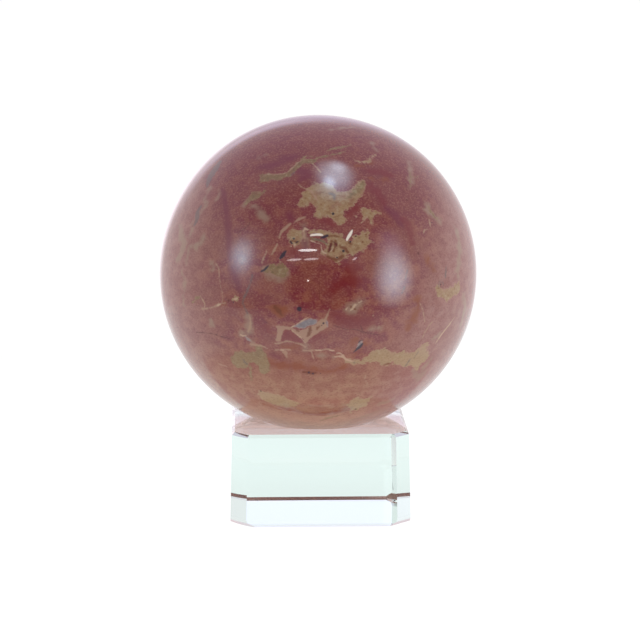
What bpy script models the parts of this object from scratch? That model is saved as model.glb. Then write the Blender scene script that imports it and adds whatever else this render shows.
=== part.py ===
"""A polished jasper sphere that rests in the hollow of a clear glass block.

Metres, +Z up. The origin is under the middle of the block, on the surface it stands on.
"""

import math

import bmesh
import bpy
from mathutils import Matrix, Vector

MM = 0.001

# Driving dimensions
SPHERE_RADIUS = 35.5 * MM
SPHERE_SINK = 2.75 * MM
FOOT_WIDTH = 40.0 * MM
TOP_WIDTH = 39.2 * MM
BLOCK_HEIGHT = 20.8 * MM
CORNER_LEG = 3.4 * MM
TOP_BEVEL = 0.65 * MM
FOOT_ROUNDING = 1.0 * MM
SEAT_GAP = 0.3 * MM

# How finely the round faces are cut
SPHERE_SEGMENTS = 72
SPHERE_RINGS = 36
SEAT_SEGMENTS = 64
SEAT_RINGS = 8
FOOT_ROUNDING_SEGMENTS = 3

# Worked out from the sizes above
SPHERE_CENTRE = Vector((0.0, 0.0, BLOCK_HEIGHT - SPHERE_SINK + SPHERE_RADIUS))
SEAT_RADIUS = SPHERE_RADIUS + SEAT_GAP
CUTTER_TOP = BLOCK_HEIGHT + 2.0 * MM


def clear_scene():
    for obj in list(bpy.data.objects):
        bpy.data.objects.remove(obj, do_unlink=True)


def new_collection(name):
    collection = bpy.data.collections.new(name)
    bpy.context.scene.collection.children.link(collection)
    return collection


def principled(name, colour, roughness, transmission=0.0, ior=1.5):
    material = bpy.data.materials.new(name)
    material.use_nodes = True
    shader = material.node_tree.nodes["Principled BSDF"]
    shader.inputs["Base Color"].default_value = (*colour, 1.0)
    shader.inputs["Metallic"].default_value = 0.0
    shader.inputs["Roughness"].default_value = roughness
    shader.inputs["Transmission Weight"].default_value = transmission
    shader.inputs["IOR"].default_value = ior
    return material


def mesh_object(name, bm, collection):
    mesh = bpy.data.meshes.new(name)
    bm.to_mesh(mesh)
    bm.free()
    obj = bpy.data.objects.new(name, mesh)
    collection.objects.link(obj)
    return obj


def edges_at_height(bm, height):
    return [e for e in bm.edges if all(abs(v.co.z - height) < 0.01 * MM for v in e.verts)]


def bevel(bm, edges, offset, segments):
    bmesh.ops.bevel(
        bm,
        geom=edges,
        offset=offset,
        offset_type="OFFSET",
        affect="EDGES",
        segments=segments,
        profile=0.5,
        material=-1,
    )


def stone_sphere(collection):
    """The ground and polished ball of red jasper."""
    bm = bmesh.new()
    bmesh.ops.create_uvsphere(
        bm, u_segments=SPHERE_SEGMENTS, v_segments=SPHERE_RINGS, radius=SPHERE_RADIUS
    )
    obj = mesh_object("stone_sphere", bm, collection)
    obj.location = SPHERE_CENTRE
    obj.data.shade_smooth()
    obj.data.materials.append(principled("polished red jasper", (0.20, 0.065, 0.052), 0.08))
    return obj


def seat_cutter(collection):
    """A turned plug whose round underside is the hollow that the ball lies in."""
    widest = math.acos((SPHERE_CENTRE.z - CUTTER_TOP) / SEAT_RADIUS)
    bm = bmesh.new()
    outline = [Vector((0.0, 0.0, CUTTER_TOP))]
    for ring in range(SEAT_RINGS + 1):
        angle = widest * (1.0 - ring / SEAT_RINGS)
        x = SEAT_RADIUS * math.sin(angle)
        z = SPHERE_CENTRE.z - SEAT_RADIUS * math.cos(angle)
        outline.append(Vector((x, 0.0, z)))
    verts = [bm.verts.new(point) for point in outline]
    for upper, lower in zip(verts, verts[1:]):
        bm.edges.new((upper, lower))
    obj = mesh_object("seat_cutter", bm, collection)
    screw = obj.modifiers.new("Turn", "SCREW")
    screw.axis = "Z"
    screw.angle = math.tau
    screw.steps = SEAT_SEGMENTS
    screw.render_steps = SEAT_SEGMENTS
    screw.use_merge_vertices = True
    screw.merge_threshold = 0.00001
    obj.hide_render = True
    obj.display_type = "WIRE"
    return obj


def glass_stand(collection, cutter):
    """A square block with cut corners, leaning in a little to its top, hollowed for the ball."""
    bm = bmesh.new()
    size = Matrix.Diagonal((FOOT_WIDTH, FOOT_WIDTH, BLOCK_HEIGHT, 1.0))
    place = Matrix.Translation((0.0, 0.0, BLOCK_HEIGHT / 2))
    bmesh.ops.create_cube(bm, size=1.0, matrix=place @ size)
    lean = TOP_WIDTH / FOOT_WIDTH
    for vert in bm.verts:
        if vert.co.z > BLOCK_HEIGHT / 2:
            vert.co.x *= lean
            vert.co.y *= lean
    uprights = [e for e in bm.edges if abs(e.verts[0].co.z - e.verts[1].co.z) > BLOCK_HEIGHT / 2]
    bevel(bm, uprights, CORNER_LEG, 1)
    bevel(bm, edges_at_height(bm, BLOCK_HEIGHT), TOP_BEVEL, 1)
    bevel(bm, edges_at_height(bm, 0.0), FOOT_ROUNDING, FOOT_ROUNDING_SEGMENTS)
    obj = mesh_object("glass_stand", bm, collection)
    hollow = obj.modifiers.new("Seat", "BOOLEAN")
    hollow.operation = "DIFFERENCE"
    hollow.solver = "EXACT"
    hollow.object = cutter
    obj.data.materials.append(
        principled("clear pale green glass", (0.86, 0.97, 0.95), 0.0, transmission=1.0, ior=1.52)
    )
    return obj


def main():
    clear_scene()
    parts = new_collection("jasper_sphere_on_glass_stand")
    cutters = new_collection("cutters")
    cutters.hide_render = True
    stone_sphere(parts)
    glass_stand(parts, seat_cutter(cutters))


main()
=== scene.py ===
import math
import random

import bmesh
import bpy
import numpy as np
from mathutils import Matrix, Quaternion, Vector


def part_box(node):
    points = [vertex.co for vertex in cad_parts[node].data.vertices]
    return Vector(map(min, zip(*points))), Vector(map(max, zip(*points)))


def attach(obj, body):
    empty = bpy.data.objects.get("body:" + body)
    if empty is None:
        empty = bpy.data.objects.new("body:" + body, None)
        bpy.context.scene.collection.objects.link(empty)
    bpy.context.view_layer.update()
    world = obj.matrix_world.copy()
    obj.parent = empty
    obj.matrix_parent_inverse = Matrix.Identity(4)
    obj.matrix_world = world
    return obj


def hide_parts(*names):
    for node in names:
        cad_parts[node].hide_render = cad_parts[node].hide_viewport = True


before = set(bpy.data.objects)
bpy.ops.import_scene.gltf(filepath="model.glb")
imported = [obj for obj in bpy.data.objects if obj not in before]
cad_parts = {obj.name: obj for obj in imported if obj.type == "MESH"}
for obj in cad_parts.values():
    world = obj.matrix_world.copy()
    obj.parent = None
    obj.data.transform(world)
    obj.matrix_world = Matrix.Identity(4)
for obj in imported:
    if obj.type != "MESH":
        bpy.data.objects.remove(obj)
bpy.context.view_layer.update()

MM = 0.001
# The least number to divide by, the steps of a full turn, and how near each other two points are one
TINY = 1e-12
ROUND_STEPS = 128
SAME_SPOT = 0.0005 * MM

# Camera, fitted to the outlines of the ball and the block
FRAME_SIDE = 640
FOCAL_PIXELS = 2306.0
SENSOR_WIDTH = 36.0
CAMERA_DISTANCE = 520.0 * MM
CAMERA_TILT = math.radians(9.94)
CAMERA_SWING = math.radians(1.9)
CAMERA_AIM = Vector((0.42 * MM, 0.0, 42.92 * MM))
NEAREST_SEEN = 10 * MM

# Sizes that the frame gives
BALL_LOW, BALL_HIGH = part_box("stone_sphere")
BALL_CENTRE = (BALL_LOW + BALL_HIGH) / 2
BALL_RADIUS = (BALL_HIGH.z - BALL_LOW.z) / 2
BLOCK_LOW, BLOCK_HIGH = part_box("glass_stand")
FOOT_WIDTH = BLOCK_HIGH.x - BLOCK_LOW.x
BLOCK_HEIGHT = BLOCK_HIGH.z

# Finer sizes of the block. The foot of a ground face, as points so far in from it and so high, from below
TOP_WIDTH = 39.0 * MM
TOP_CHAMFER = 0.65 * MM
LONG_FOOT = ((0.71 * MM, 0.0), (0.13 * MM, 0.42 * MM), (0.0, 0.85 * MM))
SIDE_FOOT = ((0.10 * MM, 0.0), (0.0, 0.25 * MM))
CORNER_FOOT = ((1.65 * MM, 0.0), (0.16 * MM, 1.12 * MM), (0.0, 1.90 * MM))
SMALL_FOOT = ((0.45 * MM, 0.0), (0.0, 0.35 * MM))
# Each wall's azimuth in degrees and its foot
WALLS = {
    "front": (-90, LONG_FOOT),
    "right": (0, SIDE_FOOT),
    "back": (90, LONG_FOOT),
    "left": (180, SIDE_FOOT),
}
# Each corner's side and end, what the grinding took along the long wall and along the side wall, how far its
# face turns as it rounds over, and its foot
CORNERS = {
    "front left": (-1, -1, 3.5 * MM, 3.5 * MM, math.radians(16), CORNER_FOOT),
    "front right": (1, -1, 3.1 * MM, 3.1 * MM, 0.0, CORNER_FOOT),
    "back right": (1, 1, 2.7 * MM, 2.7 * MM, 0.0, CORNER_FOOT),
    "back left": (-1, 1, 1.0 * MM, 1.0 * MM, 0.0, SMALL_FOOT),
}
ROUNDING_STEP = math.radians(1.5)
SEAT_GAP = 0.06 * MM
PLUG_RISE = 2 * MM
PLUG_RINGS = 24

# What lights the scene: a white light tent, open towards the camera, in shares of paper white
PAPER_WHITE = 1.01
CLOTH = "#FFF8FB"
SIDE = 0.88
SIDE_EDGE = (0.45, 0.10)
OPENING = 0.45
OPENING_EDGE = (-0.20, -0.50)
CEILING = "#E4DCEC"
CEILING_EDGE = (0.20, 0.80)
FLOOR_RADIUS = 200.0 * MM
FLOOR_DROP = 0.02 * MM
FLOOR_GLOW = 0.95
FLOOR_FRONT_GLOW = 0.37
FLOOR_FRONT = (-180.0 * MM, -80.0 * MM)
# The floor's glow holds a painted shadow of the ball: a wide grey-pink one, and a pinker one under the
# block, both left off behind the block
FLOOR_PAINTED_SHADOW = "#DCCBD0"
FLOOR_PAINTED_SHADOW_EDGE = (80.0 * MM, 60.0 * MM)
FLOOR_SHADE = "#F2C2C0"
FLOOR_SHADE_EDGE = (32.0 * MM, 20.0 * MM)
FLOOR_SHADE_BACK = (14.0 * MM, 21.0 * MM)

# What the ball mirrors in the picture, each with its place and half size in pixels, its turn in degrees,
# how much of it is full, its strength and its colour, and how thick all of them are towards the ball
GLINT_REACH = 0.5
GAP_IN_THE_CLOTH = (322.0, 286.0, 42.0, 31.0, 0.0, 0.72, 1.0, "#383838")
# Windows behind the ball that only it mirrors, along its upper limb
WINDOWS = {
    "left window": (181.5, 195.5, 5.0, 66.0, -30.0, 0.0, 0.8, "#F4EEFF"),
    "upper left window": (240.0, 141.0, 4.0, 52.0, -60.0, 0.0, 0.7, "#E4DCFF"),
    "upper window": (322.0, 117.5, 4.0, 72.0, 90.0, 0.0, 0.4, "#BCB8FF"),
}
LAMPS = {
    "overhead lamp": (335.0, 172.5, 25.0, 16.0, 0.0, 0.10, 4.0, "#D2ECFF"),
    "overhead lamp's middle": (338.5, 167.0, 12.0, 8.0, 0.0, 0.0, 3.0, "#DCECFF"),
    "overhead lamp's second panel": (329.5, 182.5, 9.5, 9.0, 0.0, 0.0, 6.0, "#C8E4FF"),
    "overhead lamp's lower glow": (334.0, 186.0, 27.0, 19.0, 0.0, 0.0, 3.0, "#CCE4FF"),
    "left lamp": (241.0, 256.0, 17.0, 23.0, 0.0, 0.0, 3.3, "#C5EBFF"),
    "left lamp's core": (243.0, 260.0, 7.0, 7.0, 0.0, 0.0, 1.4, "#E8FFF4"),
    "left lamp's halo": (242.0, 258.0, 32.0, 46.0, 0.0, 0.0, 1.4, "#E0EBFF"),
    "right lamp": (394.5, 277.5, 24.0, 38.0, 0.0, 0.0, 5.8, "#DCF0FF"),
    "right lamp's halo": (391.0, 246.0, 21.0, 24.0, 0.0, 0.0, 1.3, "#E6DCFF"),
    "strip light": (307.6, 250.2, 10.6, 1.4, 0.0, 0.80, 10.0, "#FFFFFF"),
    "lower strip light": (294.4, 259.7, 8.4, 1.2, 4.0, 0.75, 5.2, "#FFF4F6"),
    "lower strip light's end": (311.2, 259.1, 8.2, 1.2, 3.0, 0.75, 5.2, "#FFF4F6"),
    "short strip light": (354.8, 258.7, 3.2, 1.1, 31.0, 0.60, 5.0, "#FFF4F6"),
    "pilot light": (308.1, 280.6, 1.3, 1.3, 0.0, 0.40, 14.0, "#FFEFEA"),
}


def linear(hex_colour):
    """An sRGB hex colour as the linear RGBA that the shaders take."""
    channels = [int(hex_colour[i : i + 2], 16) / 255 for i in (1, 3, 5)]
    return [c / 12.92 if c <= 0.04045 else ((c + 0.055) / 1.055) ** 2.4 for c in channels] + [1.0]


def grey(level):
    """A neutral colour of one linear level."""
    return [level, level, level, 1.0]


def add(tree, kind, settings=None, inputs=None):
    """Adds one node with its settings; an input takes a value, or a socket to link from."""
    node = tree.nodes.new(kind)
    for name, value in (settings or {}).items():
        setattr(node, name, value)
    for name, value in (inputs or {}).items():
        if isinstance(value, bpy.types.NodeSocket):
            tree.links.new(value, node.inputs[name])
        else:
            node.inputs[name].default_value = value
    return node


def lay_over(tree, under, over, value, start, full, strength=1.0, blend="MIX"):
    """Lays one colour over another, from nothing where the value is at start to its strength at full."""
    ramp = {"Value": value, "From Min": start, "From Max": full, "To Max": strength}
    share = add(tree, "ShaderNodeMapRange", {"interpolation_type": "SMOOTHSTEP"}, ramp).outputs["Result"]
    settings = {"data_type": "RGBA", "blend_type": blend, "clamp_factor": False}
    return add(tree, "ShaderNodeMix", settings, {"Factor": share, 6: under, 7: over}).outputs[2]


def camera_axes():
    """The camera's place and its right, up and forward directions."""
    flat = math.cos(CAMERA_TILT)
    forward = Vector((math.sin(CAMERA_SWING) * flat, math.cos(CAMERA_SWING) * flat, -math.sin(CAMERA_TILT)))
    right = Vector((math.cos(CAMERA_SWING), -math.sin(CAMERA_SWING), 0.0))
    return CAMERA_AIM - forward * CAMERA_DISTANCE, right, right.cross(forward), forward


def make_camera():
    """The camera that took the picture, as far as the outlines tell."""
    place, right, up, forward = camera_axes()
    data = bpy.data.cameras.new("camera")
    data.sensor_width = SENSOR_WIDTH
    data.lens = FOCAL_PIXELS * SENSOR_WIDTH / FRAME_SIDE
    data.clip_start = NEAREST_SEEN
    camera = bpy.data.objects.new("camera", data)
    turn = Matrix((right, up, -forward)).transposed()
    camera.matrix_world = Matrix.Translation(place) @ turn.to_4x4()
    bpy.context.scene.collection.objects.link(camera)
    bpy.context.scene.camera = camera


def on_ball(x, y):
    """The spot of the ball that shows at a pixel of the picture, from the ball's centre."""
    place, right, up, forward = camera_axes()
    middle = FRAME_SIDE / 2
    ray = forward + right * ((x - middle) / FOCAL_PIXELS) - up * ((y - middle) / FOCAL_PIXELS)
    ray.normalize()
    to_centre = BALL_CENTRE - place
    along = to_centre.dot(ray)
    inside = max(0.0, BALL_RADIUS**2 - to_centre.length_squared + along**2)
    return (place + ray * (along - math.sqrt(inside)) - BALL_CENTRE).normalized() * BALL_RADIUS


def mirrored(x, y):
    """The direction that the ball mirrors to the camera at a pixel of the picture."""
    spot = on_ball(x, y)
    ray = (BALL_CENTRE + spot - camera_axes()[0]).normalized()
    return ray.reflect(spot.normalized()).normalized()


def new_material(name, values):
    """Makes a material with plain values on its shader's own sockets; gives it, its nodes and its shader."""
    material = bpy.data.materials.new(name)
    material.use_nodes = True
    shader = material.node_tree.nodes["Principled BSDF"]
    for socket, value in values.items():
        shader.inputs[socket].default_value = value
    return material, material.node_tree, shader


def mesh_object(name, bm):
    """The finished mesh as an object at the origin."""
    mesh = bpy.data.meshes.new(name)
    bm.to_mesh(mesh)
    bm.free()
    obj = bpy.data.objects.new(name, mesh)
    bpy.context.scene.collection.objects.link(obj)
    return obj


def lay_glint(tree, under, direction, glint, blend):
    """Lays a lamp, or a gap, over the cloth where the ball mirrors it at its place in the picture."""
    x, y, half_width, half_height, turn, full, strength, colour = glint
    turn = math.radians(turn)
    towards = mirrored(x, y)
    across = mirrored(x + half_width * math.cos(turn), y - half_width * math.sin(turn)) - towards
    along = mirrored(x - half_height * math.sin(turn), y - half_height * math.cos(turn)) - towards
    side = (across - towards * across.dot(towards)).normalized()
    axes = Matrix((side, towards.cross(side), towards)).transposed()
    inputs = {
        "Vector": direction,
        "Location": towards,
        "Rotation": axes.to_euler(),
        "Scale": (across.length, along.length, GLINT_REACH),
    }
    local = add(tree, "ShaderNodeMapping", {"vector_type": "TEXTURE"}, inputs).outputs["Vector"]
    away = add(tree, "ShaderNodeVectorMath", {"operation": "LENGTH"}, {0: local}).outputs["Value"]
    return lay_over(tree, under, linear(colour), away, 1.0, full, strength, blend)


def make_world():
    """A light tent of white cloth with its lamps, plain paper white where the camera sees it directly."""
    world = bpy.data.worlds.new("light tent")
    world.use_nodes = True
    tree = world.node_tree
    tree.nodes.clear()
    direction = add(tree, "ShaderNodeTexCoord").outputs["Generated"]
    height = add(tree, "ShaderNodeSeparateXYZ", None, {"Vector": direction}).outputs["Z"]
    facing = {0: direction, 1: tuple(camera_axes()[3])}
    away = add(tree, "ShaderNodeVectorMath", {"operation": "DOT_PRODUCT"}, facing).outputs["Value"]
    cloth = lay_over(tree, linear(CLOTH), grey(SIDE), away, *SIDE_EDGE)
    cloth = lay_over(tree, cloth, grey(OPENING), away, *OPENING_EDGE)
    cloth = lay_over(tree, cloth, linear(CEILING), height, *CEILING_EDGE, blend="MULTIPLY")
    cloth = lay_glint(tree, cloth, direction, GAP_IN_THE_CLOTH, "MIX")
    lit = cloth
    for glint in LAMPS.values():
        lit = lay_glint(tree, lit, direction, glint, "ADD")
    path = add(tree, "ShaderNodeLightPath").outputs
    cloth = lay_over(tree, lit, cloth, path["Is Transmission Ray"], 0.0, 1.0)
    behind = cloth
    for glint in WINDOWS.values():
        behind = lay_glint(tree, behind, direction, glint, "ADD")
    cloth = lay_over(tree, cloth, behind, path["Is Glossy Ray"], 0.0, 1.0)
    cloth = lay_over(tree, cloth, grey(PAPER_WHITE), path["Is Camera Ray"], 0.0, 1.0)
    background = add(tree, "ShaderNodeBackground", None, {"Color": cloth})
    add(tree, "ShaderNodeOutputWorld", None, {"Surface": background.outputs[0]})
    bpy.context.scene.world = world


def make_floor():
    """
    A lit table of white acrylic. It glows from below and burns out in the picture, so nothing throws a
    shadow there, while the block and the ball see a painted shadow of the ball in its glow: grey-pink
    round the ball, pinker under the block, and none behind the block.
    """
    bm = bmesh.new()
    bmesh.ops.create_circle(bm, cap_ends=True, segments=ROUND_STEPS, radius=FLOOR_RADIUS)
    bmesh.ops.translate(bm, verts=bm.verts, vec=(0, 0, -FLOOR_DROP))
    floor = mesh_object("floor", bm)
    values = {
        "Base Color": linear("#5A5A5A"),
        "Roughness": 0.9,
        "Specular IOR Level": 0.0,
        "Emission Strength": 1.0,
    }
    material, tree, shader = new_material("white acrylic light table", values)
    place = add(tree, "ShaderNodeTexCoord").outputs["Object"]
    depth = add(tree, "ShaderNodeSeparateXYZ", None, {"Vector": place}).outputs["Y"]
    away = add(tree, "ShaderNodeVectorMath", {"operation": "LENGTH"}, {0: place}).outputs["Value"]
    bright = lay_over(tree, grey(FLOOR_FRONT_GLOW), grey(FLOOR_GLOW), depth, *FLOOR_FRONT)
    # Painted shadow of the ball in the glow: wide, then pinker under the block, and none behind it
    shaded = lay_over(tree, bright, linear(FLOOR_PAINTED_SHADOW), away, *FLOOR_PAINTED_SHADOW_EDGE)
    shaded = lay_over(tree, shaded, linear(FLOOR_SHADE), away, *FLOOR_SHADE_EDGE)
    glow = lay_over(tree, shaded, bright, depth, *FLOOR_SHADE_BACK)
    seen = add(tree, "ShaderNodeLightPath").outputs["Is Camera Ray"]
    glow = lay_over(tree, glow, grey(PAPER_WHITE), seen, 0.0, 1.0)
    tree.links.new(glow, shader.inputs["Emission Color"])
    floor.data.materials.append(material)


def grind(bm, azimuth, low, high):
    """Grinds the block flat on a plane that faces an azimuth and holds two points, distance and height."""
    outward = Vector((math.cos(azimuth), math.sin(azimuth), 0.0))
    normal = outward * (high[1] - low[1]) - Vector((0.0, 0.0, high[0] - low[0]))
    cut = bmesh.ops.bisect_plane(
        bm,
        geom=[*bm.verts, *bm.edges, *bm.faces],
        plane_co=outward * low[0] + Vector((0.0, 0.0, low[1])),
        plane_no=normal.normalized(),
        clear_outer=True,
    )
    rim = [e for e in cut["geom_cut"] if isinstance(e, bmesh.types.BMEdge)]
    if rim:
        bmesh.ops.edgeloop_fill(bm, edges=rim)


def grind_face(bm, azimuth, foot, top, foot_profile):
    """Grinds an upright face, its distances given at the foot and the top, with its foot and its chamfer."""
    profile = [*foot_profile, (0.0, BLOCK_HEIGHT - TOP_CHAMFER), (TOP_CHAMFER, BLOCK_HEIGHT)]
    points = [(foot + (top - foot) * height / BLOCK_HEIGHT - inset, height) for inset, height in profile]
    for low, high in zip(points, points[1:]):
        grind(bm, azimuth, low, high)


def grind_corner(bm, side, end, long_leg, side_leg, turn, foot_profile):
    """Grinds a corner off, flat where it has no turn, and else on an arc between the same two arrises."""
    facing = math.atan2(end * long_leg, side * side_leg)
    radius = math.hypot(long_leg, side_leg) / 2 / math.sin(turn / 2) if turn else 0.0
    steps = round(turn / ROUNDING_STEP)
    for step in range(steps + 1):
        swing = turn * (step / steps - 0.5) if steps else 0.0
        azimuth = facing + swing
        bulge = radius * (1 - math.cos(turn / 2) * math.cos(swing))
        reach = [
            math.cos(azimuth) * side * (width - long_leg) / 2
            + math.sin(azimuth) * end * (width - side_leg) / 2
            + bulge
            for width in (FOOT_WIDTH, TOP_WIDTH)
        ]
        grind_face(bm, azimuth, *reach, foot_profile)


def seat_plug():
    """A turned plug whose round underside hollows the block for the ball."""
    radius = BALL_RADIUS + SEAT_GAP
    top = BLOCK_HEIGHT + PLUG_RISE
    widest = math.acos((BALL_CENTRE.z - top) / radius)
    bm = bmesh.new()
    verts = [bm.verts.new((0.0, 0.0, top))]
    for ring in range(PLUG_RINGS + 1):
        angle = widest * (1 - ring / PLUG_RINGS)
        rim = (radius * math.sin(angle), 0.0, BALL_CENTRE.z - radius * math.cos(angle))
        verts.append(bm.verts.new(rim))
    edges = [bm.edges.new(pair) for pair in zip(verts, verts[1:])]
    turn = {"cent": (0, 0, 0), "axis": (0, 0, 1), "angle": math.tau, "steps": ROUND_STEPS}
    bmesh.ops.spin(bm, geom=verts + edges, use_merge=True, **turn)
    bmesh.ops.remove_doubles(bm, verts=bm.verts, dist=SAME_SPOT)
    bmesh.ops.recalc_face_normals(bm, faces=bm.faces)
    for face in bm.faces:
        face.smooth = True
    return mesh_object("seat_plug", bm)


def optical_glass():
    """Clear dense crown glass, ground and polished: it takes a faint sea green from its thickness."""
    values = {"Base Color": linear("#E8F9F4"), "Roughness": 0.0, "IOR": 1.60, "Transmission Weight": 1.0}
    return new_material("clear polished glass", values)[0]


def make_block():
    """The stand: a block ground on its walls, corners, foot and rim, and hollowed for the ball."""
    bm = bmesh.new()
    size = Matrix.Diagonal((FOOT_WIDTH, FOOT_WIDTH, BLOCK_HEIGHT, 1.0))
    place = Matrix.Translation((0.0, 0.0, BLOCK_HEIGHT / 2))
    bmesh.ops.create_cube(bm, size=1.0, matrix=place @ size)
    for azimuth, foot_profile in WALLS.values():
        grind_face(bm, math.radians(azimuth), FOOT_WIDTH / 2, TOP_WIDTH / 2, foot_profile)
    for corner in CORNERS.values():
        grind_corner(bm, *corner)
    bmesh.ops.recalc_face_normals(bm, faces=bm.faces)
    block = mesh_object("hollowed_glass_block", bm)
    plug = seat_plug()
    cut = block.modifiers.new("seat", "BOOLEAN")
    cut.operation = "DIFFERENCE"
    cut.solver = "EXACT"
    cut.object = plug
    graph = bpy.context.evaluated_depsgraph_get()
    hollowed = bpy.data.meshes.new_from_object(block.evaluated_get(graph))
    block.modifiers.clear()
    block.data = hollowed
    bpy.data.objects.remove(plug)
    block.data.materials.clear()
    block.data.materials.append(optical_glass())
    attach(block, "root")
    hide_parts("glass_stand")


# What shows on the front of the ball, drawn over the picture. A stroke is x, y and half width in
# pixels from point to point, and a patch is its outline, x and y
OLIVE = {
    "streak's fork": [(303, 159, 1.2), (305, 156.4, 1.3), (308, 155.6, 1.3), (312, 156.6, 0.7)],
    "high line": [
        (328, 150.2, 0.8), (334, 148.6, 1.6), (341, 147.4, 1.6), (347, 146, 1.4), (351, 144.6, 0.7),
    ],
    "long line": [(320, 157.4, 0.8), (328, 155.6, 1.3), (334, 154.6, 1.1), (340, 153, 0.9), (346, 151, 0.6)],
    "right streak": [(410, 172, 0.5), (410.4, 180, 1), (410.4, 186, 0.8)],
    "right wedge": [(427.6, 205, 0.9), (430, 211, 1.6), (434.6, 216.6, 1.2), (438.6, 220.6, 0.5)],
    "right streak's branch": [(411, 176.6, 0.9), (415, 177.6, 0.8), (418, 176.8, 0.4)],
    "low streak": [(321, 420.4, 1.2), (327, 418.4, 1.9), (334, 416.6, 1.8), (341, 415.2, 1)],
    "great patch's horn": [(347, 199, 1), (353, 194.4, 2.4), (359.6, 188.4, 3.4), (364, 182, 2)],
    "left smear": [(192.6, 302.4, 1.4), (196.6, 298.8, 1.9), (200.4, 296.2, 1.1)],
    "lower left patch's tail": [(250, 366, 1.6), (250.6, 373, 1.5), (251, 381, 0.8)],
}
OLIVE_PATCHES = {
    "branching streak": [
        (259.8, 175), (262, 173.4), (268, 173.4), (274, 173.8), (281, 173.6), (286, 172.4), (290, 169.6),
        (293.5, 165.8), (297, 162.4), (300.5, 160.2), (304, 158.8), (308, 158.4), (312, 158.6), (316, 157.6),
        (319.8, 157), (317, 160.4), (314, 163.6), (310, 162.8), (306, 163), (303, 164.4), (299.5, 167),
        (296, 170.8), (291, 174.8), (286.5, 177.6), (281, 179.8), (274, 180.4), (267, 181.4), (261, 182.2),
        (259.4, 179),
    ],
    "leaf": [
        (243.8, 204.6), (245, 201.4), (248.5, 198), (250, 194.6), (253, 192), (257, 191), (261, 191.4),
        (266, 190.2), (264.6, 193.4), (260.6, 197), (256, 199.6), (251.5, 200.8), (248, 203), (245.6, 205),
    ],
    "lower left patch": [
        (230.6, 357), (233, 353.6), (236, 350.8), (240, 350.4), (246, 351.4), (252, 352), (255, 350.6),
        (254, 347), (257, 344.8), (262, 345.2), (264, 349), (266, 354), (268, 358.6), (270.4, 364),
        (270, 370), (266, 374), (261, 373), (258.4, 369), (257, 364.4), (253, 363), (249, 364.4),
        (247.8, 367.4), (244, 368.8), (238, 368.4), (234, 365.2), (231.8, 361),
    ],
    "under the lens": [
        (311, 237.2), (316, 237.8), (321, 238.8), (325, 240.6), (328, 243.4), (327, 246), (323.6, 244.6),
        (320, 242.4), (314, 241.6), (311.4, 240),
    ],
    "slivers' foot": [
        (264.6, 271.8), (267, 267.4), (270, 263.6), (273.6, 262.8), (277, 265.4), (280, 263.2), (284, 262.6),
        (285.6, 266), (288, 269.4), (287.6, 274), (285.6, 277.4), (281, 277), (276, 275.6), (272.4, 273.6),
        (270.6, 272), (267.4, 272),
    ],
}
GOLD = {
    "crescent": [
        (354.4, 160.6, 0.6), (359.4, 161.8, 1.2), (364, 162.4, 1.8), (368, 161, 2), (371.4, 158, 1.5),
        (375, 154.4, 0.8),
    ],
    "golden band's lower edge": [(367, 362.4, 0.8), (372, 361.8, 1.2), (378, 360.6, 0.8)],
}
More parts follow.
